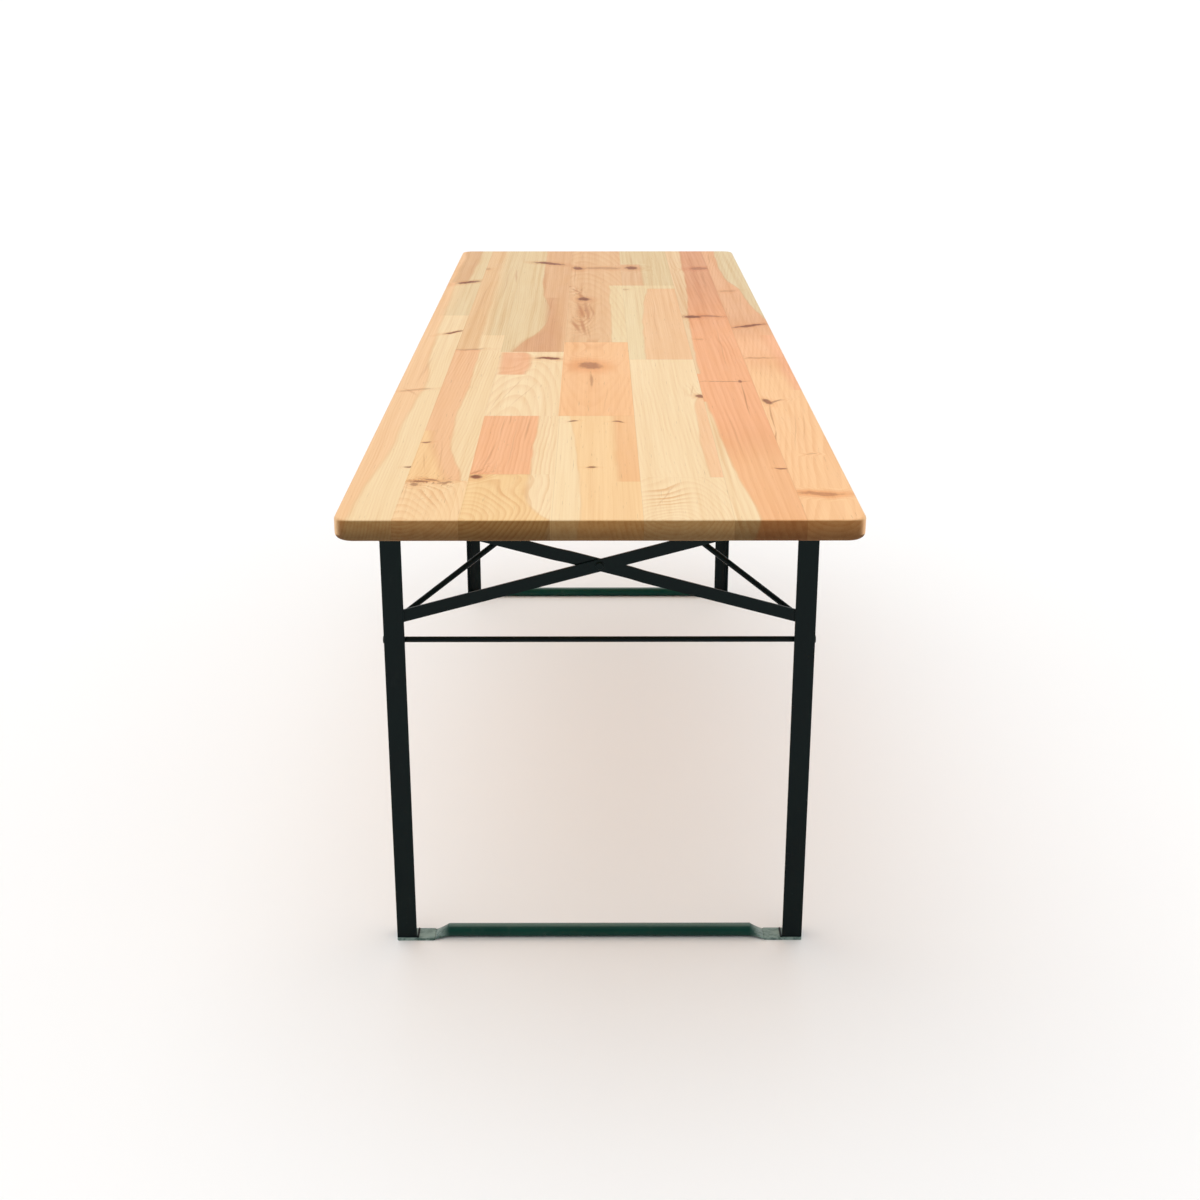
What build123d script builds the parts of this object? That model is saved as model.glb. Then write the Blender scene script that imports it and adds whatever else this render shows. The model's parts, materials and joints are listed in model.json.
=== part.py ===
from build123d import *
import math
import os

# Folding beer-garden table: a glued pine panel on two folding steel leg frames.
# Origin at the middle of the footprint on the floor, X across, Y along, +Z up, millimetres.
# Each end of the table is modelled once, in end coordinates: X across, U along the table
# measured from the end of the panel, Z up. The other end is the same set turned half round.

# ---- overall sizes ----
TABLE_LENGTH = 2200.0
TABLE_WIDTH = 650.0
TABLE_HEIGHT = 770.0
PANEL_THICK = 28.0
UNDERSIDE = TABLE_HEIGHT - PANEL_THICK
BOARD_WIDTHS = [72.0, 81.0, 111.0, 114.0, 110.0, 88.0, 74.0]
PLAN_CORNER = 24.0
TOP_EDGE_ROUND = 4.0
BOTTOM_EDGE_ROUND = 7.0

# ---- cross battens ----
BATTEN_WIDE = 45.0
BATTEN_DEEP = 28.0
BATTEN_HALF = 296.0
BATTEN_END_CUT = 12.0
BATTEN_TO_LEG = 7.0

# ---- leg frame ----
LEG_SETBACK = 313.0
FRAME_HALF = 310.0
ANGLE_SIDE = 30.0
ANGLE_THICK = 3.0
HINGE_DROP = 20.0
HINGE_U = LEG_SETBACK + ANGLE_SIDE / 2
HINGE_Z = UNDERSIDE - HINGE_DROP
UPRIGHT_ABOVE_HINGE = 8.0
FRONT_FLANGE_TOP = HINGE_Z - 10.0
CROSSBAR_Z = 488.5
CROSSBAR_R = 4.2
BRACE_WIDE = 18.0
BRACE_THICK = 3.0
BRACE_Z = 604.7
BRACE_RISE = 0.27
BRACE_REACH = 300.0
JOGGLE_BEND = 6.0
FOOT_R = 10.0
FOOT_WALL = 1.6
FOOT_U = HINGE_U - 2.0
FOOT_PRESSED = 4.0
FOOT_PRESSED_WIDE = 31.0
FOOT_TUBE_HALF = 231.0
FOOT_PRESS_AT = 252.0

# ---- hinge fittings ----
HINGE_ROD_R = 5.0
RUNNING_FIT = 0.05
FACE_GAP = 0.3
EAR_THICK = 4.0
EAR_OUT = 304.0
EAR_R = 9.0
FOOT_PLATE = 60.0
SIDE_GAP = FRAME_HALF - ANGLE_THICK

# ---- struts ----
STRUT_R = 4.2
STRUT_WIDE = 16.0
STRUT_THICK = 4.0
STRUT_PRESSED = 13.0
STRUT_DRAWN = 14.0
STRUT_REACH = 100.0
PIN_DROP = 15.0
PIN_R = 5.0
PIN_U = HINGE_U + STRUT_REACH
PIN_Z = UNDERSIDE - PIN_DROP
STRUT_X = SIDE_GAP - FACE_GAP - STRUT_THICK / 2
PIN_TAB_X = 14.0
LOWER_TAB = 20.0
UPPER_TAB = 14.0
STRUT_BEND = 9.0

# ---- keeper and latch ----
KEEPER_WIDE = 18.0
KEEPER_THICK = 3.0
KEEPER_BEND = 2.2
LATCH_WIDE = 16.0
LATCH_THICK = 1.5
LATCH_HINGE_FROM_PIN = 60.3

# ---- wood screws ----
SCREW_SHANK_R = 2.2
SCREW_HEAD_R = 4.2
SCREW_HEAD_TALL = 2.2
SCREW_BITE = 15.0


# ---------------------------------------------------------------- helpers
def to_end(shape, end):
    """Move a shape from end coordinates to its end of the table."""
    moved = Pos(0, -TABLE_LENGTH / 2, 0) * shape
    if end == "rear":
        moved = Rot(0, 0, 180) * moved
    return moved


def side_sign(end, side):
    """Sign of X, in end coordinates, of a side named as seen from the front."""
    sign = -1 if side == "left" else 1
    return sign if end == "front" else -sign


def mitred_strip(points, thick):
    """Closed outline of a bent strip of even thickness along an open line of points."""
    half = thick / 2
    normals = []
    for (ax, ay), (bx, by) in zip(points[:-1], points[1:]):
        run = math.hypot(bx - ax, by - ay)
        normals.append((-(by - ay) / run, (bx - ax) / run))
    left = []
    right = []
    for i, (px, py) in enumerate(points):
        n1 = normals[max(i - 1, 0)]
        n2 = normals[min(i, len(normals) - 1)]
        scale = half / (1 + n1[0] * n2[0] + n1[1] * n2[1])
        ox = (n1[0] + n2[0]) * scale
        oy = (n1[1] + n2[1]) * scale
        left.append((px + ox, py + oy))
        right.append((px - ox, py - oy))
    return left + right[::-1]


def strip_face(points, thick, bend=0.0):
    """Face of a bent strip, its bends rounded to the given radius at mid-thickness."""
    outline = mitred_strip(points, thick)
    face = make_face(Polyline(*outline, close=True))
    if bend <= 0:
        return face
    count = len(points)
    for i in range(1, count - 1):
        (ax, ay), (bx, by), (cx, cy) = points[i - 1:i + 2]
        turns_left = (bx - ax) * (cy - by) - (by - ay) * (cx - bx) > 0
        for corner, inside in ((outline[i], turns_left), (outline[2 * count - 1 - i], not turns_left)):
            vertex = face.vertices().sort_by_distance(corner)[0]
            face = fillet(vertex, bend - thick / 2 if inside else bend + thick / 2)
    return face


def side_strip(points, thick, wide, bend=0.0):
    """A strip bent along points in (U, Z), centred across the table."""
    plane = Plane(origin=(-wide / 2, 0, 0), x_dir=(0, 1, 0), z_dir=(1, 0, 0))
    return extrude(plane * strip_face(points, thick, bend), amount=wide)


def rod_x(x0, x1, u, z, r):
    """A round rod along X from x0 to x1."""
    plane = Plane(origin=(x0, u, z), x_dir=(0, 1, 0), z_dir=(1, 0, 0))
    return extrude(plane * Circle(r), amount=x1 - x0)


def mirror_x(shape, sign):
    """The shape as built for +X, or its mirror image for -X."""
    return shape if sign > 0 else mirror(shape, about=Plane.YZ)


def wood_screw(x, u, z_seat):
    """Pan-head screw driven upwards, with its head seated at z_seat."""
    shank_top = UNDERSIDE + SCREW_BITE
    head = Pos(x, u, z_seat - SCREW_HEAD_TALL / 2) * Cylinder(SCREW_HEAD_R, SCREW_HEAD_TALL)
    head = fillet(head.edges().sort_by(Axis.Z)[0], SCREW_HEAD_TALL * 0.6)
    shank_tall = shank_top - z_seat
    shank = Pos(x, u, z_seat + shank_tall / 2) * Cylinder(SCREW_SHANK_R, shank_tall)
    tip = Pos(x, u, shank_top + 2) * Cone(SCREW_SHANK_R, 0.4, 4)
    return head + shank + tip


def cut_all(shape, tools):
    """Take each tool that reaches the shape out of it."""
    box = shape.bounding_box()
    for tool in tools:
        other = tool.bounding_box()
        apart = (
            other.min.X > box.max.X or other.max.X < box.min.X
            or other.min.Y > box.max.Y or other.max.Y < box.min.Y
            or other.min.Z > box.max.Z or other.max.Z < box.min.Z
        )
        if not apart:
            shape = shape - tool
    return shape


# ---------------------------------------------------------------- tabletop
def board_edges():
    """X of every long edge between boards, from left to right."""
    edges = [-TABLE_WIDTH / 2]
    for wide in BOARD_WIDTHS:
        edges.append(edges[-1] + wide)
    return edges


def panel():
    """The whole glued panel with its rounded corners and edges."""
    plan = RectangleRounded(TABLE_WIDTH, TABLE_LENGTH, PLAN_CORNER)
    slab = extrude(Pos(0, 0, UNDERSIDE) * plan, amount=PANEL_THICK)
    top = slab.faces().sort_by(Axis.Z)[-1].edges()
    slab = fillet(top, TOP_EDGE_ROUND)
    bottom = slab.faces().sort_by(Axis.Z)[0].edges()
    return fillet(bottom, BOTTOM_EDGE_ROUND)


def boards(screws):
    """The panel cut along its glue lines, with the screw holes in it."""
    whole = panel()
    edges = board_edges()
    cut = []
    for left, right in zip(edges[:-1], edges[1:]):
        block = Pos((left + right) / 2, 0, TABLE_HEIGHT) * Box(right - left, TABLE_LENGTH, 4 * PANEL_THICK)
        cut.append(cut_all(whole & block, screws))
    return cut


def batten(y_mid, screws):
    """Pine cross batten with its lower end corners cut off."""
    z0 = UNDERSIDE - BATTEN_DEEP
    outline = [
        (-BATTEN_HALF, UNDERSIDE), (-BATTEN_HALF, z0 + BATTEN_END_CUT),
        (-BATTEN_HALF + BATTEN_END_CUT, z0), (BATTEN_HALF - BATTEN_END_CUT, z0),
        (BATTEN_HALF, z0 + BATTEN_END_CUT), (BATTEN_HALF, UNDERSIDE),
    ]
    plane = Plane(origin=(0, y_mid + BATTEN_WIDE / 2, 0), x_dir=(1, 0, 0), z_dir=(0, -1, 0))
    bar = extrude(plane * make_face(Polyline(*outline, close=True)), amount=BATTEN_WIDE)
    long_edges = bar.edges().filter_by(Axis.X).group_by(Axis.Z)[0]
    return cut_all(fillet(long_edges, 3.0), screws)


def batten_places():
    """Y of the middle of the front, middle and rear batten."""
    end = TABLE_LENGTH / 2 - LEG_SETBACK + BATTEN_TO_LEG + BATTEN_WIDE / 2
    return {"front": -end, "middle": 0.0, "rear": end}


def batten_screws(y_mid):
    """One screw into every board, staggered either side of the batten's middle."""
    edges = board_edges()
    limit = BATTEN_HALF - 2 * BATTEN_END_CUT
    screws = []
    for i, (left, right) in enumerate(zip(edges[:-1], edges[1:])):
        x = max(-limit, min(limit, (left + right) / 2))
        stagger = 8.0 if i % 2 else -8.0
        screws.append(wood_screw(x, y_mid + stagger, UNDERSIDE - BATTEN_DEEP))
    return screws


# ---------------------------------------------------------------- hinge fittings, built for +X
def bracket_screw_places():
    """(X, U) of the three screws in a hinge bracket's foot plate."""
    inner = EAR_OUT - FOOT_PLATE + 12
    return [(inner, HINGE_U - 8), (inner, HINGE_U + 32), (EAR_OUT - 16, HINGE_U + 32)]


def hinge_bracket(screws):
    """Foot plate screwed under the panel and an ear that holds the hinge rod."""
    plate_z = UNDERSIDE - EAR_THICK / 2
    plate = Pos(EAR_OUT - FOOT_PLATE / 2, HINGE_U + 12, plate_z) * Box(FOOT_PLATE, 56, EAR_THICK)
    plate = fillet(plate.edges().filter_by(Axis.Z), 4)
    ear_mid = EAR_OUT - EAR_THICK / 2
    ear_box = Pos(ear_mid, HINGE_U, (UNDERSIDE + HINGE_Z) / 2) * Box(EAR_THICK, 2 * EAR_R, HINGE_DROP)
    ear_eye = rod_x(EAR_OUT - EAR_THICK, EAR_OUT, HINGE_U, HINGE_Z, EAR_R)
    bracket = plate + ear_box + ear_eye
    bracket = bracket - rod_x(EAR_OUT - 2 * EAR_THICK, EAR_OUT + 1, HINGE_U, HINGE_Z, HINGE_ROD_R)
    return cut_all(bracket, screws)


def hinge_rod():
    """Rod through both brackets and both uprights."""
    end = FRAME_HALF + FACE_GAP + 3
    return rod_x(-end, end, HINGE_U, HINGE_Z, HINGE_ROD_R)


def hinge_washer():
    """Spacer between a bracket's ear and the upright's side flange."""
    ring = rod_x(EAR_OUT, SIDE_GAP - FACE_GAP, HINGE_U, HINGE_Z, 8.0)
    return ring - rod_x(EAR_OUT - 1, SIDE_GAP, HINGE_U, HINGE_Z, HINGE_ROD_R)


def rod_cap():
    """Push-on domed cap over the end of the hinge rod."""
    inner = FRAME_HALF + FACE_GAP
    cap = rod_x(inner, inner + 5, HINGE_U, HINGE_Z, 8.5)
    cap = fillet(cap.edges().sort_by(Axis.X)[-1], 3)
    return cap - rod_x(inner, inner + 3, HINGE_U, HINGE_Z, HINGE_ROD_R)


# ---------------------------------------------------------------- leg frame
def upright():
    """Angle-steel upright with a bore for the hinge rod and one for the crossbar."""
    outer = FRAME_HALF
    inner = FRAME_HALF - ANGLE_SIDE
    front = LEG_SETBACK
    back = LEG_SETBACK + ANGLE_SIDE
    outline = [
        (inner, front), (outer, front), (outer, back), (outer - ANGLE_THICK, back),
        (outer - ANGLE_THICK, front + ANGLE_THICK), (inner, front + ANGLE_THICK),
    ]
    face = make_face(Polyline(*outline, close=True))
    root = face.vertices().sort_by_distance((outer - ANGLE_THICK, front + ANGLE_THICK))[0]
    face = fillet(root, 3.0)
    heel = face.vertices().sort_by_distance((outer, front))[0]
    face = fillet(heel, 1.2)
    top = HINGE_Z + UPRIGHT_ABOVE_HINGE
    bar = extrude(Pos(0, 0, FOOT_PRESSED) * face, amount=top - FOOT_PRESSED)
    clear = top - FRONT_FLANGE_TOP
    flange = Pos(outer - ANGLE_THICK - ANGLE_SIDE / 2, HINGE_U, FRONT_FLANGE_TOP + clear)
    bar = bar - flange * Box(ANGLE_SIDE, 2 * ANGLE_SIDE, 2 * clear)
    side_shape = Plane(origin=(inner, HINGE_U, top - ANGLE_SIDE), x_dir=(0, 1, 0), z_dir=(1, 0, 0))
    round_top = extrude(side_shape * RectangleRounded(ANGLE_SIDE, 2 * ANGLE_SIDE, 7), amount=ANGLE_SIDE)
    above = Pos(outer - ANGLE_SIDE / 2, HINGE_U, top) * Box(ANGLE_SIDE, ANGLE_SIDE, ANGLE_SIDE)
    bar = bar - (above - round_top)
    bar = bar - rod_x(SIDE_GAP - 5, FRAME_HALF + 5, HINGE_U, HINGE_Z, HINGE_ROD_R + RUNNING_FIT)
    return bar - rod_x(SIDE_GAP - 5, FRAME_HALF + 5, HINGE_U, CROSSBAR_Z, CROSSBAR_R)


def crossbar():
    """Rod through both side flanges with its ends peened over."""
    rod = rod_x(-FRAME_HALF, FRAME_HALF, HINGE_U, CROSSBAR_Z, CROSSBAR_R)
    for sign in (-1, 1):
        x0 = FRAME_HALF if sign > 0 else -FRAME_HALF - 2.5
        head = rod_x(x0, x0 + 2.5, HINGE_U, CROSSBAR_Z, CROSSBAR_R + 2)
        outer_edge = head.edges().sort_by(Axis.X)[-1 if sign > 0 else 0]
        rod = rod + fillet(outer_edge, 1.8)
    return rod


def strut_collar():
    """Push-on ring that keeps a strut against the side flange."""
    outer = STRUT_X - STRUT_THICK / 2 - FACE_GAP
    ring = rod_x(outer - 3, outer, HINGE_U, CROSSBAR_Z, 7)
    return ring - rod_x(outer - 4, outer + 1, HINGE_U, CROSSBAR_Z, CROSSBAR_R)


def foot_section(x, wide, tall, z_mid):
    """Elliptical outline across the foot bar at x."""
    plane = Plane(origin=(x, FOOT_U, z_mid), x_dir=(0, 1, 0), z_dir=(1, 0, 0))
    return plane * Ellipse(wide / 2, tall / 2)


def foot_end(inner=False):
    """One drawn-down end of the foot bar, from the round tube to the pressed plate."""
    if inner:
        bore = 2 * (FOOT_R - FOOT_WALL)
        tube = foot_section(FOOT_TUBE_HALF, bore, bore, FOOT_R)
        flat = foot_section(FOOT_PRESS_AT, FOOT_PRESSED_WIDE - 6, 0.8, FOOT_PRESSED / 2)
    else:
        tube = foot_section(FOOT_TUBE_HALF, 2 * FOOT_R, 2 * FOOT_R, FOOT_R)
        flat = foot_section(FOOT_PRESS_AT, FOOT_PRESSED_WIDE, FOOT_PRESSED, FOOT_PRESSED / 2)
    return loft([tube, flat])


def foot_bar():
    """Round tube across the floor with both ends pressed flat under the uprights."""
    bar = rod_x(-FOOT_TUBE_HALF, FOOT_TUBE_HALF, FOOT_U, FOOT_R, FOOT_R)
    hollow = rod_x(-FOOT_TUBE_HALF, FOOT_TUBE_HALF, FOOT_U, FOOT_R, FOOT_R - FOOT_WALL)
    drawn = foot_end()
    drawn_hollow = foot_end(inner=True)
    plate_long = FRAME_HALF - FOOT_PRESS_AT
    plate_x = FOOT_PRESS_AT + plate_long / 2
    plate = Pos(plate_x, FOOT_U, FOOT_PRESSED / 2) * Box(plate_long, FOOT_PRESSED_WIDE, FOOT_PRESSED)
    plate = fillet(plate.edges().filter_by(Axis.Z), 3)
    plate = fillet(plate.edges().group_by(Axis.Z)[-1], 1.2)
    for sign in (-1, 1):
        bar = bar + mirror_x(drawn, sign) + mirror_x(plate, sign)
    bar = bar - hollow
    for sign in (-1, 1):
        bar = bar - mirror_x(drawn_hollow, sign)
    return bar


def brace_bar(rising, joggled):
    """Flat bar welded behind the front flanges, joggled where it passes over the other."""
    lean = math.atan(BRACE_RISE)
    half = BRACE_REACH / math.cos(lean)
    u0 = LEG_SETBACK + ANGLE_THICK + BRACE_THICK / 2
    u1 = u0 + BRACE_THICK if joggled else u0
    points = [(-half, u0), (-66, u0), (-44, u1), (44, u1), (66, u0), (half, u0)]
    if not joggled:
        points = [(-half, u0), (half, u0)]
    face = strip_face(points, BRACE_THICK, JOGGLE_BEND)
    flat = extrude(Pos(0, 0, -BRACE_WIDE / 2) * face, amount=BRACE_WIDE)
    turn = -math.degrees(lean) if rising else math.degrees(lean)
    bar = Pos(0, 0, BRACE_Z) * Rot(0, turn, 0) * flat
    return bar - brace_rivet()


def brace_rivet():
    """Rivet through both brace bars where they cross."""
    front = LEG_SETBACK + ANGLE_THICK
    back = front + 2 * BRACE_THICK
    plane = Plane(origin=(0, front - 2.4, BRACE_Z), x_dir=(1, 0, 0), z_dir=(0, 1, 0))
    head = extrude(plane * Circle(6), amount=2.4)
    head = fillet(head.edges().sort_by(Axis.Y)[0], 2)
    shank = extrude(plane * Circle(3), amount=back + 2.4 - front + 1)
    tail_plane = Plane(origin=(0, back, BRACE_Z), x_dir=(1, 0, 0), z_dir=(0, 1, 0))
    tail = extrude(tail_plane * Circle(5), amount=2)
    tail = fillet(tail.edges().sort_by(Axis.Y)[-1], 1.5)
    return head + shank + tail


# ---------------------------------------------------------------- struts
def strut_length():
    """Distance from the crossbar to the strut pin, seen from the side."""
    return math.hypot(STRUT_REACH, PIN_Z - CROSSBAR_Z)


def strut():
    """Round rod from the crossbar to the strut pin, its ends pressed into bent flat eyes, for +X."""
    long = strut_length()
    r = STRUT_WIDE / 2
    low = Vector(LOWER_TAB, 0, STRUT_X)
    high = Vector(long - UPPER_TAB, 0, PIN_TAB_X)
    run = (high - low).normalized()
    reach = (high - low).length

    def section(distance, wide, thick):
        plane = Plane(origin=low + run * distance, x_dir=(0, 1, 0), z_dir=run)
        return plane * Ellipse(wide / 2, thick / 2)

    across = Plane(origin=(0, r, 0), x_dir=(1, 0, 0), z_dir=(0, -1, 0))
    low_end = low + run * STRUT_PRESSED
    high_end = high - run * STRUT_PRESSED
    tabs = [
        [(-r, STRUT_X), (low.X, low.Z), (low_end.X, low_end.Z)],
        [(high_end.X, high_end.Z), (high.X, high.Z), (long + r, PIN_TAB_X)],
    ]
    bar = None
    for points in tabs:
        tab = extrude(across * strip_face(points, STRUT_THICK, STRUT_BEND), amount=STRUT_WIDE)
        bar = tab if bar is None else bar + tab
    pressed = [STRUT_PRESSED - 3, reach - STRUT_PRESSED + 3]
    round_at = [STRUT_PRESSED + STRUT_DRAWN, reach - STRUT_PRESSED - STRUT_DRAWN]
    for flat, full in zip(pressed, round_at):
        wide_end = section(flat, STRUT_WIDE, STRUT_THICK)
        bar = bar + loft([wide_end, section(full, 2 * STRUT_R, 2 * STRUT_R)])
    rod = extrude(section(round_at[0], 2 * STRUT_R, 2 * STRUT_R), amount=round_at[1] - round_at[0])
    bar = bar + rod
    ends = Pos(long / 2, 0, 0) * SlotOverall(long + STRUT_WIDE, STRUT_WIDE)
    bar = bar & extrude(ends, amount=FRAME_HALF)
    bar = bar - Pos(0, 0, STRUT_X) * Cylinder(CROSSBAR_R + RUNNING_FIT, 4 * STRUT_THICK)
    bar = bar - Pos(long, 0, PIN_TAB_X) * Cylinder(PIN_R, 4 * STRUT_THICK)
    along = Vector(0, STRUT_REACH, PIN_Z - CROSSBAR_Z)
    seat = Plane(origin=(0, HINGE_U, CROSSBAR_Z), x_dir=along, z_dir=(1, 0, 0))
    return seat * bar


def strut_pin():
    """Pin through both struts' upper ends, headed at both sides."""
    tab_out = PIN_TAB_X + STRUT_THICK / 2
    pin = rod_x(-tab_out, tab_out, PIN_U, PIN_Z, PIN_R)
    for sign in (-1, 1):
        x0 = tab_out if sign > 0 else -tab_out - 3
        head = rod_x(x0, x0 + 3, PIN_U, PIN_Z, PIN_R + 2.5)
        outer_edge = head.edges().sort_by(Axis.X)[-1 if sign > 0 else 0]
        pin = pin + fillet(outer_edge, 2)
    return pin


# ---------------------------------------------------------------- keeper and latch
def keeper_screw_places():
    """(X, U) of the screws in a keeper's plate."""
    return [(0.0, PIN_U - 40), (0.0, PIN_U - 22)]


def latch_screw_places():
    """(X, U) of the screws in a latch's base."""
    return [(0.0, PIN_U + 72), (0.0, PIN_U + 90)]


def keeper(screws):
    """Steel strip hooked under the strut pin, open towards the middle of the table."""
    plate_z = UNDERSIDE - KEEPER_THICK / 2
    web_u = PIN_U - PIN_R - FACE_GAP - KEEPER_THICK / 2
    jaw_z = PIN_Z - PIN_R - FACE_GAP - KEEPER_THICK / 2
    points = [
        (PIN_U - 52, plate_z), (web_u, plate_z), (web_u, jaw_z),
        (PIN_U - 1.5, jaw_z), (PIN_U + 9, jaw_z - 1.9),
    ]
    strip = side_strip(points, KEEPER_THICK, KEEPER_WIDE, KEEPER_BEND)
    return cut_all(strip, screws)


def latch_base(screws):
    """Fixed end of the leaf-spring latch, screwed flat under the panel."""
    z = UNDERSIDE - LATCH_THICK / 2
    start = PIN_U + LATCH_HINGE_FROM_PIN + FACE_GAP
    points = [(start, z - 0.35), (start + 5, z), (PIN_U + 100, z)]
    return cut_all(side_strip(points, LATCH_THICK, LATCH_WIDE), screws)


def latch_tongue():
    """Free end of the leaf-spring latch, with its nose behind the strut pin."""
    start = PIN_U + LATCH_HINGE_FROM_PIN - FACE_GAP
    points = [(start, UNDERSIDE - 1.1), (PIN_U + 26, 735.0), (PIN_U + 14, 731.0)]
    return side_strip(points, LATCH_THICK, LATCH_WIDE)


# ---------------------------------------------------------------- assembly
def end_nodes(end):
    """Every node at one end of the table, and its screws."""
    bracket_screws = []
    brackets = {}
    for side in ("left", "right"):
        sign = side_sign(end, side)
        screws = [wood_screw(x, u, UNDERSIDE - EAR_THICK) for x, u in bracket_screw_places()]
        brackets[side] = mirror_x(hinge_bracket(screws), sign)
        bracket_screws += [mirror_x(s, sign) for s in screws]
    keeper_screws = [wood_screw(x, u, UNDERSIDE - KEEPER_THICK) for x, u in keeper_screw_places()]
    latch_screws = [wood_screw(x, u, UNDERSIDE - LATCH_THICK) for x, u in latch_screw_places()]
    nodes = {
        f"hinge_rod_{end}": hinge_rod(),
        f"keeper_{end}": keeper(keeper_screws),
        f"latch_base_{end}": latch_base(latch_screws),
        f"latch_tongue_{end}": latch_tongue(),
        f"crossbar_{end}": crossbar(),
        f"foot_bar_{end}": foot_bar(),
        f"brace_bar_{end}_a": brace_bar(rising=True, joggled=False),
        f"brace_bar_{end}_b": brace_bar(rising=False, joggled=True),
        f"brace_rivet_{end}": brace_rivet(),
        f"strut_pin_{end}": strut_pin(),
        f"strut_collars_{end}": Compound([mirror_x(strut_collar(), sign) for sign in (-1, 1)]),
    }
    for side in ("left", "right"):
        sign = side_sign(end, side)
        nodes[f"hinge_bracket_{end}_{side}"] = brackets[side]
        nodes[f"upright_{end}_{side}"] = mirror_x(upright(), sign)
        nodes[f"strut_{end}_{side}"] = mirror_x(strut(), sign)
    placed = {name: to_end(shape, end) for name, shape in nodes.items()}
    fastenings = {
        "bracket_screws": [to_end(s, end) for s in bracket_screws],
        "fitting_screws": [to_end(s, end) for s in keeper_screws + latch_screws],
        "hinge_washers": [to_end(mirror_x(hinge_washer(), sign), end) for sign in (-1, 1)],
        "rod_caps": [to_end(mirror_x(rod_cap(), sign), end) for sign in (-1, 1)],
    }
    return placed, fastenings


def build():
    """All nodes of the table by name."""
    nodes = {}
    groups = {}
    for end in ("front", "rear"):
        placed, fastenings = end_nodes(end)
        nodes.update(placed)
        for name, solids in fastenings.items():
            groups.setdefault(name, []).extend(solids)
    groups["batten_screws"] = []
    for place, y_mid in batten_places().items():
        screws = batten_screws(y_mid)
        nodes[f"batten_{place}"] = batten(y_mid, screws)
        groups["batten_screws"] += screws
    screws = groups["batten_screws"] + groups["bracket_screws"] + groups["fitting_screws"]
    for i, board in enumerate(boards(screws), start=1):
        nodes[f"board_{i}"] = board
    for name, solids in groups.items():
        nodes[name] = Compound(solids)
    return nodes


os.makedirs("parts", exist_ok=True)
for name, shape in build().items():
    export_step(shape, f"parts/{name}.step")
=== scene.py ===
"""Looks of a folding picnic table: solid-wood boards, powder-coated steel, zinc fittings."""

import json
import math
import random

import bmesh
import bpy
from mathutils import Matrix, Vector


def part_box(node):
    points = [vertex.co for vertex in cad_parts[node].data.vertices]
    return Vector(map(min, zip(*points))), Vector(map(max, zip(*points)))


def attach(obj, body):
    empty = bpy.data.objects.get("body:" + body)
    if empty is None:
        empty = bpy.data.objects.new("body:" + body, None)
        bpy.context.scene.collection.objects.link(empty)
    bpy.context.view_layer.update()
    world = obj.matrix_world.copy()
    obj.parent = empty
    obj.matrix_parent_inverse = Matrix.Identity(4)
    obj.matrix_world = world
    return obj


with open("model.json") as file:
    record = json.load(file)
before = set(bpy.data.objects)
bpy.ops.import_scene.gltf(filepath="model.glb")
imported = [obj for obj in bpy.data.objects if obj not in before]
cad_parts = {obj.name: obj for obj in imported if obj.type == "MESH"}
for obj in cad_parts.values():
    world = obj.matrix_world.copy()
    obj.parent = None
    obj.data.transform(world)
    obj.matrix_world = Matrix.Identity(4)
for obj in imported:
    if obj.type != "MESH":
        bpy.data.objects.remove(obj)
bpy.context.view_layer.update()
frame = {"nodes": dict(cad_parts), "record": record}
NODES = frame["nodes"]

LENGTH = 2.2
HALF_LENGTH = LENGTH / 2
TOP_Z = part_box("board_4")[1].z
ENDS = ("front", "rear")


def srgb(r, g, b):
    """Linear colour from the usual 0-255 values."""
    def linear(v):
        v /= 255
        return v / 12.92 if v <= 0.04045 else ((v + 0.055) / 1.055) ** 2.4
    return (linear(r), linear(g), linear(b), 1.0)


# ---------------------------------------------------------------- node graphs
class Val:
    """A number in a node graph, with ordinary arithmetic."""

    def __init__(self, graph, socket):
        self.g, self.s = graph, socket

    def __add__(self, o):
        return self.g.math("ADD", self, o)

    def __sub__(self, o):
        return self.g.math("SUBTRACT", self, o)

    def __mul__(self, o):
        return self.g.math("MULTIPLY", self, o)

    def __truediv__(self, o):
        return self.g.math("DIVIDE", self, o)

    def __neg__(self):
        return self.g.math("MULTIPLY", self, -1.0)

    def __rsub__(self, o):
        return self.g.math("SUBTRACT", o, self)


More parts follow.
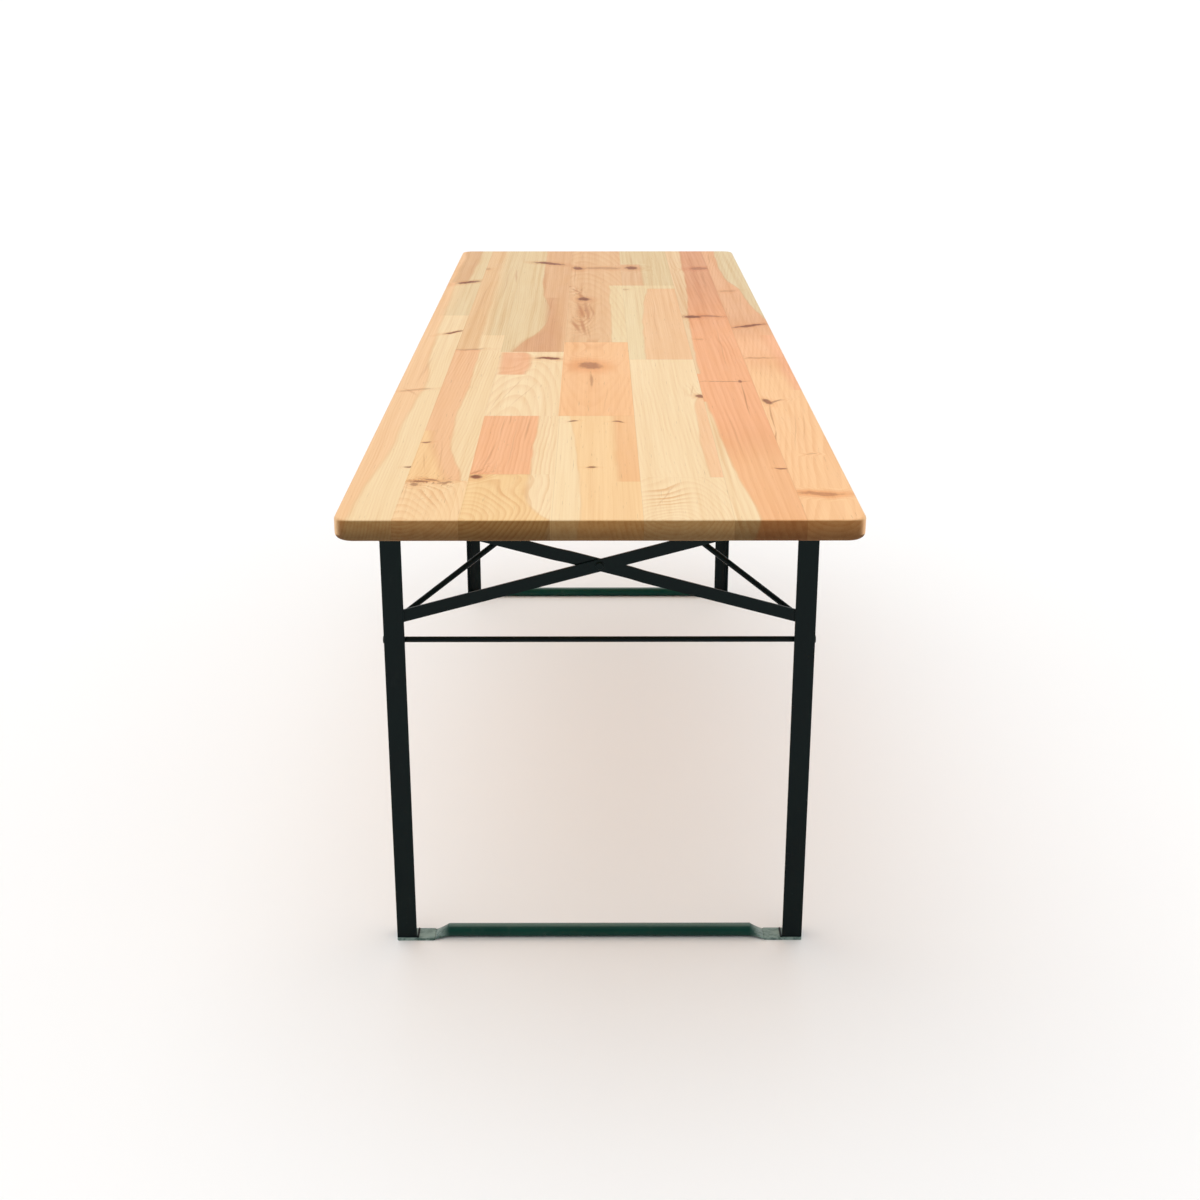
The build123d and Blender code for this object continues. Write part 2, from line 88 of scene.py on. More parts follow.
class Graph:
    """A material's node tree, with short calls for the nodes used here."""

    def __init__(self, name):
        self.material = bpy.data.materials.new(name)
        self.material.use_nodes = True
        self.tree = self.material.node_tree
        self.tree.nodes.clear()
        coords = self.node("ShaderNodeTexCoord")
        self.point = coords.outputs["Object"]
        self.normal = coords.outputs["Normal"]
        self.x, self.y, self.z = self.split(self.point)

    def node(self, kind, inputs=None, **props):
        made = self.tree.nodes.new(kind)
        for key, value in props.items():
            setattr(made, key, value)
        for key, value in (inputs or {}).items():
            self.put(made.inputs[key], value)
        return made

    def put(self, socket, value):
        if isinstance(value, Val):
            value = value.s
        if isinstance(value, bpy.types.NodeSocket):
            self.tree.links.new(value, socket)
        else:
            socket.default_value = value

    def split(self, vector):
        out = self.node("ShaderNodeSeparateXYZ", {0: vector}).outputs
        return [Val(self, out[i]) for i in range(3)]

    def join(self, x, y, z):
        return self.node("ShaderNodeCombineXYZ", {0: x, 1: y, 2: z}).outputs[0]

    def math(self, op, a, b=None):
        inputs = {0: a}
        if b is not None:
            inputs[1] = b
        return Val(self, self.node("ShaderNodeMath", inputs, operation=op).outputs[0])

    def vec(self, op, a, b=None, c=None, out=0):
        inputs = {0: a}
        if b is not None:
            inputs[1] = b
        if c is not None:
            inputs[2] = c
        return self.node("ShaderNodeVectorMath", inputs, operation=op).outputs[out]

    def length(self, v):
        return Val(self, self.vec("LENGTH", v, out="Value"))

    def step(self, value, lo, hi, a=0.0, b=1.0):
        """Smooth change from a to b as value goes from lo to hi."""
        n = self.node("ShaderNodeMapRange", {0: value, 1: lo, 2: hi, 3: a, 4: b},
                      interpolation_type="SMOOTHSTEP")
        return Val(self, n.outputs[0])

    def noise(self, scales, detail=2.0, rough=0.5, seed=0.0, distort=0.0, colour=False):
        """Noise over the object's metres, with its own scale along x, y and z."""
        v = self.vec("MULTIPLY_ADD", self.point, scales, (seed, seed * 0.37, -seed * 0.71))
        n = self.node("ShaderNodeTexNoise",
                      {"Vector": v, "Scale": 1.0, "Detail": detail, "Roughness": rough,
                       "Distortion": distort})
        return n.outputs["Color"] if colour else Val(self, n.outputs["Fac"])

    def wander(self, value, scale, seed):
        """Noise along one coordinate, from about -0.5 to 0.5."""
        n = self.node("ShaderNodeTexNoise",
                      {"W": value * scale + seed, "Scale": 1.0, "Detail": 1.0},
                      noise_dimensions="1D")
        return Val(self, n.outputs["Fac"]) - 0.5

    def total(self, values):
        result = values[0]
        for value in values[1:]:
            result = result + value
        return result

    def strongest(self, values):
        result = values[0]
        for value in values[1:]:
            result = self.math("MAXIMUM", result, value)
        return result

    def mix(self, factor, a, b, blend="MIX"):
        n = self.node("ShaderNodeMix", {0: factor, 6: a, 7: b}, data_type="RGBA", blend_type=blend)
        return n.outputs[2]

    def tint(self, factor, colour, by):
        """Colour multiplied by another, as far as the factor says."""
        return self.mix(factor, colour, self.mix(1.0, colour, (*by, 1), "MULTIPLY"))

    def curve(self, value, points, lo, hi):
        """Value, from 0 to 1, through listed (position, result) points, result in lo..hi."""
        n = self.node("ShaderNodeFloatCurve", {"Value": value})
        line = n.mapping.curves[0]
        knots = [(p, (v - lo) / (hi - lo)) for p, v in sorted(points)]
        while len(line.points) < len(knots):
            line.points.new(0.5, 0.5)
        for point, place in zip(line.points, knots):
            point.location = place
            point.handle_type = "AUTO_CLAMPED"
        n.mapping.extend = "HORIZONTAL"
        n.mapping.update()
        return Val(self, n.outputs[0]) * (hi - lo) + lo

    def bump(self, height, distance, strength):
        inputs = {"Height": height, "Distance": distance, "Strength": strength}
        return self.node("ShaderNodeBump", inputs).outputs[0]

    def finish(self, colour, roughness, normal, **constants):
        """Principled shader; constants are set on its own sockets."""
        shader = self.node("ShaderNodeBsdfPrincipled",
                           {"Base Color": colour, "Roughness": roughness, "Normal": normal})
        for key, value in constants.items():
            shader.inputs[key.replace("_", " ")].default_value = value
        self.node("ShaderNodeOutputMaterial", {"Surface": shader.outputs[0]})
        return self.material


# ---------------------------------------------------------------- wood
CREAM = srgb(246, 218, 176)
PALE = srgb(249, 222, 182)
GREY_CREAM = srgb(233, 208, 166)
PEACH = srgb(246, 203, 158)
PINK = srgb(243, 193, 148)
YELLOW = srgb(250, 212, 162)
ORANGE = srgb(249, 196, 145)
KNOT_DARK = srgb(112, 74, 50)
STREAK = srgb(150, 98, 62)
FLECK = srgb(158, 98, 50)
STROKE = srgb(190, 118, 64)
KNOT_RIM = srgb(170, 92, 38)
KNOT_HEART = srgb(92, 50, 14)
LACQUER = (0.990, 0.980, 0.915, 1.0)

# Zones: colour, left edge, right edge, near end, far end, edge softness. Edges are (distance from
# the near end, x) in metres; None is the board's own side or end.
# Lengths, glued end to end: far end, pith x, pith depth, tilt, slant, ring spacing, ring strength.
# Knots: x, distance from the near end, half width, half length, slope, darkness, halo.
# Curls: x, distance, half width, half length, turns of the rings, dark flecks.
# Strokes, thin dark lines along the grain: x, distance, half width, half length, lean, darkness.
BOARDS = {
    1: dict(
        base=CREAM, edge=(-0.325, -0.252), streak=.5, end=.95,
        zones=[
            (PEACH, None, [(0, -.307), (.1, -.305), (.3, -.2925), (.5, -.2875), (.65, -.285),
             (.75, -.280), (.9, -.290), (1.1, -.298), (1.3, -.300), (1.7, -.305), (2.2, -.308)],
             None, None, .005),
            (GREY_CREAM, [(1.2, -.30), (2.2, -.28)], None, 1.35, None, .02),
            (srgb(226, 182, 136), [(1.75, -.314), (2.2, -.312)], [(1.75, -.282), (2.2, -.276)],
             1.74, None, .005),
        ],
        lengths=[(2.3, -.46, .03, .0, -.012, .0040, .45)],
        knots=[
            (-.281, 1.735, .026, .018, .75, 1.0, .6), (-.268, 1.180, .020, .009, .75, 1.0, .5),
            (-.293, .700, .030, .006, .3, .30, .3), (-.256, .234, .009, .005, 0, .85, .2),
        ],
        curls=[],
        strokes=[
            (-.292, .860, .003, .10, .05, .30), (-.285, 1.95, .002, .16, 0, .30),
            (-.300, .690, .004, .030, -.5, .35),
        ],
    ),
    2: dict(
        base=CREAM, edge=(-.252, -.171), streak=.6, end=.95,
        zones=[
            (PINK, None, [(.15, -.184), (.22, -.186), (.28, -.197), (.35, -.209), (.5, -.2135),
             (.7, -.209), (1.0, -.2075)], .17, 1.02, .003),
            (srgb(249, 213, 167), None, None, None, .175, .004),
            (srgb(236, 196, 149), None, [(1.0, -.214), (1.4, -.218), (2.2, -.222)], 1.02, None,
             .005),
            (GREY_CREAM, [(1.0, -.205), (2.2, -.216)], None, 1.15, None, .012),
            (srgb(248, 206, 152), None, [(.18, -.205), (.3, -.225), (.4, -.240), (.5, -.252)], .17,
             .44, .01),
        ],
        lengths=[
            (.175, -.240, .050, .16, .02, .0050, .65), (1.02, -.275, .016, -.02, .035, .0048, .6),
            (2.3, -.12, .050, .01, -.01, .0034, .5),
        ],
        knots=[
            (-.245, .377, .009, .004, 0, .8, .2), (-.236, .166, .013, .006, .3, .75, .6),
            (-.220, .177, .012, .005, -.3, .65, .5), (-.202, .170, .011, .005, .4, .55, .4),
            (-.240, .150, .006, .009, 0, .6, .3), (-.230, 1.018, .032, .009, .2, .35, .25),
            (-.249, 1.930, .008, .016, 0, .3, .3),
        ],
        curls=[(-.222, .170, .034, .030, 1.5, .95), (-.215, .105, .030, .070, .8, .25)],
        strokes=[
            (-.180, 1.830, .0025, .090, -.03, .60), (-.198, 1.75, .0020, .200, 0, .35),
            (-.236, 1.60, .0020, .16, .02, .30), (-.219, .300, .0012, .090, -.06, .35),
            (-.238, .270, .0012, .060, -.10, .35), (-.248, .120, .0012, .06, 0, .3),
        ],
    ),
    3: dict(
        base=PALE, edge=(-.171, -.059), streak=.5, end=.80,
        zones=[
            (GREY_CREAM, None, None, 1.0, None, .03),
            (srgb(231, 184, 139), [(1.0, -.150), (1.05, -.143), (1.12, -.127), (1.2, -.110),
             (1.3, -.096), (1.4, -.095), (1.6, -.1125), (1.8, -.1175), (2.2, -.121)], None, 1.0,
             None, .0025),
            (srgb(222, 168, 124), [(1.0, -.150), (1.1, -.130), (1.25, -.097), (1.5, -.100)],
             [(1.0, -.075), (1.2, -.078), (1.5, -.088)], 1.0, 1.55, .014),
            (srgb(247, 187, 141), None, [(.2, -.094), (.53, -.090)], .205, .528, .0022),
            (srgb(246, 208, 154), None, [(0, -.060), (.03, -.075), (.1, -.094), (.2, -.096)], None,
             .205, .004),
            (srgb(243, 186, 143), [(.80, -.165), (1.0, -.168)], [(.82, -.125), (.9, -.116),
             (.97, -.118), (1.0, -.13)], .815, .995, .006),
        ],
        lengths=[
            (.205, -.150, .060, .24, .25, .0056, .62), (.528, -.330, .02, .0, .010, .0060, .60),
            (1.0, -.130, .060, .11, .04, .0085, .42), (2.3, -.42, .05, .0, -.01, .0042, .5),
        ],
        knots=[
            (-.085, .940, .025, .011, .05, 1.0, .5), (-.163, .190, .010, .012, .6, 1.0, .6),
            (-.112, 2.012, .040, .017, -.45, .95, .5),
        ],
        curls=[
            (-.143, .900, .026, .075, 2.6, .0), (-.120, .110, .040, .060, 2.2, .1),
            (-.150, .230, .020, .040, 1.2, .3),
        ],
        strokes=[
            (-.104, .450, .0018, .070, .02, .60), (-.131, .500, .0012, .030, 0, .60),
            (-.141, .460, .0012, .060, .02, .45), (-.121, .360, .0014, .140, .02, .35),
            (-.150, .300, .0020, .080, .08, .45), (-.164, .215, .0030, .022, .5, .7),
            (-.115, 1.780, .0030, .200, -.02, .40), (-.095, 1.450, .0016, .140, .03, .45),
            (-.140, .700, .0014, .10, .16, .30), (-.120, .660, .0014, .10, .20, .25),
            (-.158, .640, .0014, .07, .10, .30),
        ],
    ),
    4: dict(
        base=ORANGE, edge=(-.059, .053), streak=.45, end=1.0,
        zones=[
            (srgb(235, 191, 146), None, None, 1.085, None, .003),
            (srgb(240, 216, 174), [(1.08, .0235), (1.7, .0245)], None, 1.085, 1.70, .002),
            (YELLOW, None, None, None, .528, .002),
            (srgb(249, 222, 181), None, [(0, -.0245), (.2, -.0265), (.35, -.033), (.5, -.041),
             (.53, -.043)], None, .528, .0025),
            (srgb(246, 195, 143), [(.2, .025), (.5, .022)], None, .17, .528, .006),
        ],
        lengths=[
            (.528, .20, .03, .0, .0, .0060, .30), (1.085, -.010, .055, -.08, .0, .0060, .55),
            (2.3, -.020, .085, .08, -.01, .0064, .80),
        ],
        knots=[
            (-.013, .878, .022, .034, 0, .62, .8), (-.0285, 1.530, .014, .024, 0, 1.0, .6),
            (-.038, .492, .009, .004, 0, .85, .2), (.027, .492, .009, .004, 0, .85, .2),
            (-.009, .233, .009, .004, 0, .8, .2), (-.045, 1.935, .014, .026, 0, .95, .7),
            (-.012, .760, .003, .045, 0, .30, .1), (.012, 1.936, .055, .018, 0, .35, .4),
        ],
        curls=[
            (-.030, 1.340, .026, .20, 4.2, .75), (-.047, 1.640, .020, .070, 2.0, 1.0),
            (-.015, 1.060, .040, .060, 1.6, .1),
        ],
        strokes=[
            (-.033, 1.560, .0058, .055, -.14, .90), (-.0225, 1.400, .0052, .120, -.03, .90),
            (-.0345, 1.400, .0042, .100, -.08, .80), (-.029, 1.240, .0050, .100, -.07, .90),
            (-.043, 1.245, .0048, .075, -.14, .90), (-.0125, 1.410, .0032, .075, -.06, .65),
            (-.017, 1.180, .0026, .060, -.05, .50), (-.0615, 1.685, .0075, .009, 0, .95),
            (-.046, 1.640, .0050, .026, -.35, .85), (-.050, 1.840, .0018, .130, 0, .45),
            (-.036, 2.100, .0020, .070, 0, .45), (-.012, .770, .0030, .060, 0, .45),
            (.012, .640, .0012, .08, .05, .25),
        ],
    ),
    5: dict(
        base=PALE, edge=(.053, .163), streak=.5, end=1.0,
        zones=[
            (srgb(239, 216, 175), None, None, .935, 1.70, .003),
            (srgb(243, 199, 155), [(.93, .0825), (1.3, .0875), (1.5, .095), (1.66, .105)], None,
             .935, 1.66, .0025),
            (srgb(230, 206, 164), None, None, 1.70, None, .004),
            (srgb(232, 190, 149), None, [(1.7, .100), (1.9, .098), (2.2, .096)], 1.70, 1.99, .004),
            (srgb(247, 202, 159), [(.19, .145), (.4, .1445), (.55, .146), (.62, .150),
             (.66, .158)], None, .19, .66, .0025),
        ],
        lengths=[
            (.19, .088, .060, .28, .05, .0052, .85), (.935, .300, .02, .0, -.02, .0070, .50),
            (1.66, .26, .05, .0, .01, .0038, .5), (2.3, .10, .060, .0, .0, .0045, .4),
        ],
        knots=[
            (.077, 1.936, .017, .026, 0, .95, .7), (.158, .655, .008, .012, 0, .9, .6),
            (.058, 1.655, .010, .010, .3, .25, .2),
        ],
        curls=[(.085, .10, .030, .085, 2.4, .05), (.148, .69, .016, .060, 1.6, .1)],
        strokes=[
            (.079, 2.030, .0022, .090, 0, .35), (.149, .700, .0016, .050, .10, .35),
            (.083, .100, .0014, .060, .25, .30), (.110, 1.300, .0016, .200, .01, .25),
        ],
    ),
    6: dict(
        base=srgb(247, 181, 134), edge=(.163, .251), streak=.65, end=.82,
        zones=[
            (srgb(226, 164, 124), None, None, 1.50, None, .45),
            (srgb(246, 188, 138), None, None, None, .38, .15),
            (PALE, None, [(0, .194), (.1, .190), (.2, .1825), (.3, .1775), (.4, .1725), (.5, .169),
             (.6, .166)], None, .62, .003),
            (srgb(240, 208, 168), None, [(.8, .1665), (1.1, .1715), (1.3, .175), (1.5, .1825),
             (1.7, .190), (1.9, .1925), (2.2, .198)], .82, None, .0025),
        ],
        lengths=[(2.3, .44, .05, .0, -.022, .0088, .85)],
        knots=[
            (.183, 1.337, .022, .018, 0, 1.0, .5), (.216, 1.340, .032, .012, 0, .50, .3),
            (.242, .238, .009, .004, 0, .8, .2), (.2285, .765, .004, .012, 0, .85, .2),
            (.232, 1.925, .024, .018, .1, .50, .6), (.206, .766, .042, .0035, 0, .45, .1),
            (.183, 1.120, .010, .008, 0, .20, .2),
        ],
        curls=[(.225, 1.00, .020, .16, 1.5, .0)],
        strokes=[
            (.2280, .640, .0016, .125, .01, .90), (.219, 1.05, .0016, .200, .02, .35),
            (.196, .420, .0016, .150, -.03, .30), (.232, 1.780, .0040, .150, .02, .45),
            (.208, 1.60, .0020, .200, -.04, .35),
        ],
    ),
    7: dict(
        base=srgb(252, 203, 154), edge=(.251, .325), streak=.5, end=.92,
        zones=[
            (srgb(250, 193, 148), None, None, .9, 1.28, .12),
            (srgb(237, 183, 141), None, None, 1.18, None, .12),
            (srgb(229, 207, 168), [(1.35, .320), (1.45, .309), (1.6, .300), (1.7, .2935),
             (1.76, .2835), (1.9, .2775), (2.2, .281)], None, 1.32, None, .0025),
            (srgb(252, 190, 149), [(.7, .312), (1.0, .305)], None, .70, 1.15, .012),
        ],
        lengths=[(2.3, .40, .03, .0, .10, .0072, .6)],
        knots=[
            (.287, 1.238, .036, .013, .75, .95, .5), (.262, .622, .008, .016, -1.0, .9, .4),
            (.275, .622, .014, .005, .4, .6, .2), (.281, .108, .030, .010, 0, .45, .9),
            (.277, .950, .028, .006, 0, .35, .3), (.292, .300, .008, .004, 0, .25, .2),
            (.272, 1.630, .020, .010, .3, .25, .3),
        ],
        curls=[],
        strokes=[
            (.2595, .533, .0016, .085, .054, .85), (.2510, .405, .0016, .050, .089, .80),
            (.284, .44, .0014, .12, .10, .35), (.300, .47, .0014, .10, .12, .30),
            (.262, 2.08, .0022, .090, .04, .45), (.290, 1.500, .0020, .120, .06, .30),
        ],
    ),
}
EDGE_LO, EDGE_HI = -0.36, 0.36  # x that the curves of the zone edges can reach


def wood(name, spec, seed):
    """Solid softwood: growth rings round a wandering pith, glued lengths, colour zones, knots."""
    g = Graph(name)
    u = g.y + HALF_LENGTH
    depth = TOP_Z - g.z
    wobble = g.noise((16, 5, 16), 3.0, .55, seed=seed, colour=True)
    wobble = g.vec("MULTIPLY", g.vec("SUBTRACT", wobble, (.5, .5, .5)), (.0100, .060, .0100))
    xw, yw = g.split(g.vec("ADD", g.point, wobble))[:2]
    uw = yw + HALF_LENGTH

    # growth rings, with their own pith in each glued length
    lengths = spec["lengths"]

    def as_values(row, middle):
        _, px, pd, tilt, slant, spacing, strength = row
        return dict(px=px, pd=pd, tilt=tilt, slant=slant, gap=1 / spacing, amp=strength, at=middle)

    values = as_values(lengths[0], lengths[0][0] * 0.5)
    for before, after in zip(lengths, lengths[1:]):
        past = g.math("GREATER_THAN", u, before[0])
        new = as_values(after, (before[0] + min(after[0], LENGTH)) / 2)
        for key in values:
            old = values[key]
            values[key] = past * (new[key] - old) + old
    along_piece = u - values["at"]
    px = g.wander(g.y, 1.3, seed + 3.3) * 0.016 + along_piece * values["slant"] + values["px"]
    pd = g.wander(g.y, 1.7, seed + 9.1) * 0.010 + along_piece * values["tilt"] + values["pd"]

    # knots, curls and strokes; knots and curls also bend the rings round themselves
    pulls, cores, halos, boosts, flecks, lines = [], [], [], [], [], []
    ragged = (g.noise((110, 70, 110), 3.0, 0.55, seed=seed + 19) - 0.5) * 0.9
    for kx, ku, hx, hu, slope, dark, glow in spec["knots"]:
        dx = xw - kx
        du = uw - ku - dx * slope if slope else uw - ku
        d = g.length(g.join(dx / hx, du / hu, 0.0))
        pulls.append(g.step(d, 0.0, 3.2, 1.1 * min(hx, .02, 2 * hu), 0.0))
        cores.append(g.step(d + ragged, 0.50, 1.15, dark, 0.0))
        halos.append(g.step(d, 0.8, 2.6, glow, 0.0))
    fleck_noise = g.noise((150, 60, 150), 3.0, .6, seed=seed + 11, distort=1.2)
    for cx, cu, hx, hu, turns, dark in spec["curls"]:
        d = g.length(g.join((xw - cx) / hx, (uw - cu) / hu, 0.0))
        near = g.step(d, 0.0, 1.6, 1.0, 0.0)
        pulls.append(near * (turns * 0.006))
        boosts.append(near)
        if dark:
            flecks.append(near * g.step(fleck_noise, 0.56, 0.66, 0.0, dark))
    for sx, su, hx, hu, lean, dark in spec["strokes"]:
        du = uw - su
        d = g.length(g.join((xw - sx - du * lean) / hx, du / hu, 0.0))
        lines.append(g.step(d, 0.2, 1.3, dark, 0.0))
    core = g.strongest(cores)

    radius = g.length(g.join(xw - px, depth + pd, 0.0)) + g.total(pulls)
    uneven = g.noise((7, .9, 7), 2.0, 0.5, seed=seed + 5)
    phase = radius * values["gap"] + uneven * 3.0
    turn = g.math("FRACT", phase)
    late = g.step(turn, 0.25, 0.86) * g.step(turn, 0.90, 1.0, 1.0, 0.0)
    year = g.node("ShaderNodeTexWhiteNoise", {"W": g.math("FLOOR", phase)}, noise_dimensions="1D")
    year_dark = Val(g, year.outputs[0])
    clear = g.step(g.noise((6, 1.4, 6), 2.0, 0.5, seed=seed + 13), 0.36, 0.66, 0.35, 1.0)
    if boosts:
        clear = g.math("MAXIMUM", clear, g.strongest(boosts) * 1.5)
    ring_mark = late * (year_dark * 0.65 + 0.45) * values["amp"] * clear

    # fibres and slow changes of tone
    fibre = g.noise((560, 4.0, 560), 3.0, 0.65, seed=seed + 1)
    streak = g.noise((105, 1.1, 105), 3.0, 0.6, seed=seed + 2)
    cloud = g.noise((13, 2.0, 13), 3.0, 0.55, seed=seed + 7)
    pore = g.step(g.noise((900, 22, 900), 1.0, 0.5, seed=seed + 4), 0.70, 0.78)

    # colour zones
    colour = spec["base"]
    fray = g.noise((4, 7, 4), 1.5, 0.45, seed=seed + 17)
    zone_x = xw + depth * 0.25 + (fray - 0.5) * 0.009
    along = u / LENGTH
    rims = []
    for tone, left, right, lo, hi, soft in spec["zones"]:
        parts = []
        for edge_points, sign in ((left, 1), (right, -1)):
            if edge_points:
                edge = g.curve(along, [(at / LENGTH, x) for at, x in edge_points], EDGE_LO, EDGE_HI)
                parts.append(g.step((zone_x - edge) * sign, -soft, soft))
        blur = soft if soft > 0.08 else 0.0010
        if lo is not None:
            parts.append(g.step(u, lo - blur, lo + blur))
        if hi is not None:
            parts.append(g.step(u, hi - blur, hi + blur, 1.0, 0.0))
        mask = parts[0]
        for part in parts[1:]:
            mask = mask * part
        colour = g.mix(mask, colour, tone)
        rims.append(mask * (1.0 - mask))

    stained = g.step(streak, 0.38, 0.72) * g.step(u, 0.8, 1.5, 0.5, 1.0) * spec["streak"]
    colour = g.tint(ring_mark * 0.62, colour, (.80, .56, .36))
    colour = g.tint(stained, colour, (.84, .68, .50))
    colour = g.tint(g.total(rims) * 0.9, colour, (.82, .64, .46))
    colour = g.tint(g.step(fibre, 0.35, 0.75) * 0.38, colour, (.90, .80, .68))
    colour = g.tint(g.step(cloud, 0.35, 0.70) * 0.22, colour, (.95, .86, .74))
    colour = g.mix(pore * 0.35, colour, STREAK)
    colour = g.tint(g.strongest(halos) * 0.75, colour, (.88, .60, .38))
    if flecks:
        colour = g.mix(g.strongest(flecks) * 0.75, colour, FLECK)
    colour = g.mix(g.strongest(lines) * 0.80, colour, STROKE)
    heart = g.mix(g.noise((180, 90, 180), 2.0, seed=seed + 8), KNOT_RIM, KNOT_HEART)
    colour = g.mix(core, colour, heart)

    # glue lines at the board's sides, darker end grain, and painted shade on the end faces' lower
    # part and on the downward rounding
    board_lo, board_hi = spec["edge"]
    from_middle = g.math("ABSOLUTE", g.x - (board_lo + board_hi) / 2)
    from_side = g.math("ABSOLUTE", from_middle - (board_hi - board_lo) / 2)
    joint = g.step(from_side, 0.0, 0.0007, 1.0, 0.0)
    for before in lengths[:-1]:
        joint = joint + g.step(g.math("ABSOLUTE", u - before[0]), 0.0, 0.0008, 0.7, 0.0)
    colour = g.mix(joint * 0.16, colour, STREAK)
    way = g.split(g.normal)
    down = g.math("MAXIMUM", -way[2], 0.0)
    # painted shade: downward-facing rounding above the underside takes the dark end-face colour
    shaded_lower_rounding = down * g.step(depth, 0.027, 0.0279, 1.0, 0.0)
    cut = g.step(g.math("ABSOLUTE", way[1]) + shaded_lower_rounding, 0.45, 0.85)
    tone = spec["end"]
    end_grain_and_shade_colour = g.mix(1.0, colour, (.44 * tone, .345 * tone, .225 * tone, 1), "MULTIPLY")
    # painted shade: the end face darkens towards its bottom edge
    end_grain_and_shade_colour = g.tint(g.step(depth, 0.001, 0.026), end_grain_and_shade_colour, (.50, .50, .54))
    end_grain_and_shade_colour = g.tint(late * clear * 0.24 + g.step(streak, .35, .75) * 0.25, end_grain_and_shade_colour,
                        (.70, .58, .44))
    colour = g.mix(cut, colour, end_grain_and_shade_colour)
    colour = g.mix(1.0, colour, LACQUER, "MULTIPLY")

    height = ring_mark * 0.5 + fibre * 0.35 + streak * 0.25 + core * 0.5
    normal = g.bump(height, 0.00035, 0.35)
    rough = g.noise((60, 12, 60), 2.0, seed=seed + 6) * 0.14 + 0.38 + cut * 0.2
    return g.finish(colour, rough, normal, Specular_IOR_Level=0.12)


def paint_node(name, material):
    mesh = NODES[name].data
    mesh.materials.clear()
    mesh.materials.append(material)


for number, spec in BOARDS.items():
    paint_node(f"board_{number}", wood(f"pine_board_{number}", spec, number * 7.31))

BATTEN_RING = 0.0036
PLANER_STEP = 0.004


def batten_wood(name, seed):
    """Planed softwood batten; its grain runs across the table."""
    g = Graph(name)
    wobble = g.noise((7, 34, 34), 2.0, seed=seed, colour=True)
    wobble = g.vec("MULTIPLY", g.vec("SUBTRACT", wobble, (.5, .5, .5)), (.04, .008, .008))
    xw, yw, zw = g.split(g.vec("ADD", g.point, wobble))
    middle = (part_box(name)[0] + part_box(name)[1]) / 2
    dy = yw - (middle.y + 0.012)
    dz = zw - (middle.z + 0.055) + g.wander(g.x, 2.3, seed) * 0.03
    pulls, cores = [], []
    knots = ((-.17 + seed * .01, .006, .011), (.06, -.011, .007), (.23 - seed * .013, .002, .009))
    for kx, ky, r in knots:
        d = g.length(g.join((xw - kx) / (r * 1.2), (yw - (middle.y + ky)) / r,
                            (zw - middle.z) / (r * 3)))
        pulls.append(g.step(d, 0.0, 2.6, 0.9 * r, 0.0))
        cores.append(g.step(d, 0.7, 1.15, 0.9, 0.0))
    radius = g.length(g.join(dy, dz, 0.0)) + g.total(pulls)
    uneven = g.noise((1.3, 9, 9), 3.0, 0.6, seed=seed + 2)
    phase = radius * (1 / BATTEN_RING) + uneven * 2.2
    turn = g.math("FRACT", phase)
    late = g.step(turn, 0.30, 0.86) * g.step(turn, 0.90, 1.0, 1.0, 0.0)
    fibre = g.noise((6, 560, 560), 3.0, 0.65, seed=seed + 1)
    streak = g.noise((1.8, 110, 110), 3.0, 0.6, seed=seed + 3)
    planer = g.math("SINE", g.x * (2 * math.pi / PLANER_STEP))
    colour = g.mix(late * 0.6, srgb(226, 180, 128), srgb(190, 134, 82))
    colour = g.mix(g.step(streak, 0.35, 0.7) * 0.5, colour, srgb(205, 152, 100))
    colour = g.mix(g.step(fibre, 0.4, 0.75) * 0.35, colour, srgb(172, 122, 78))
    colour = g.mix(g.strongest(cores), colour, KNOT_DARK)
    cut = g.step(g.math("ABSOLUTE", g.split(g.normal)[0]), 0.5, 0.9)
    colour = g.mix(cut * 0.8, colour, g.mix(late, srgb(188, 138, 92), srgb(140, 92, 56)))
    normal = g.bump(late * 0.5 + fibre * 0.6 + planer * 0.10, 0.0004, 0.5)
    rough = fibre * 0.2 + 0.48
    return g.finish(colour, rough, normal, Specular_IOR_Level=0.3)


for index, place in enumerate(("front", "middle", "rear")):
    paint_node(f"batten_{place}", batten_wood(f"batten_{place}", index * 3.7 + 1))


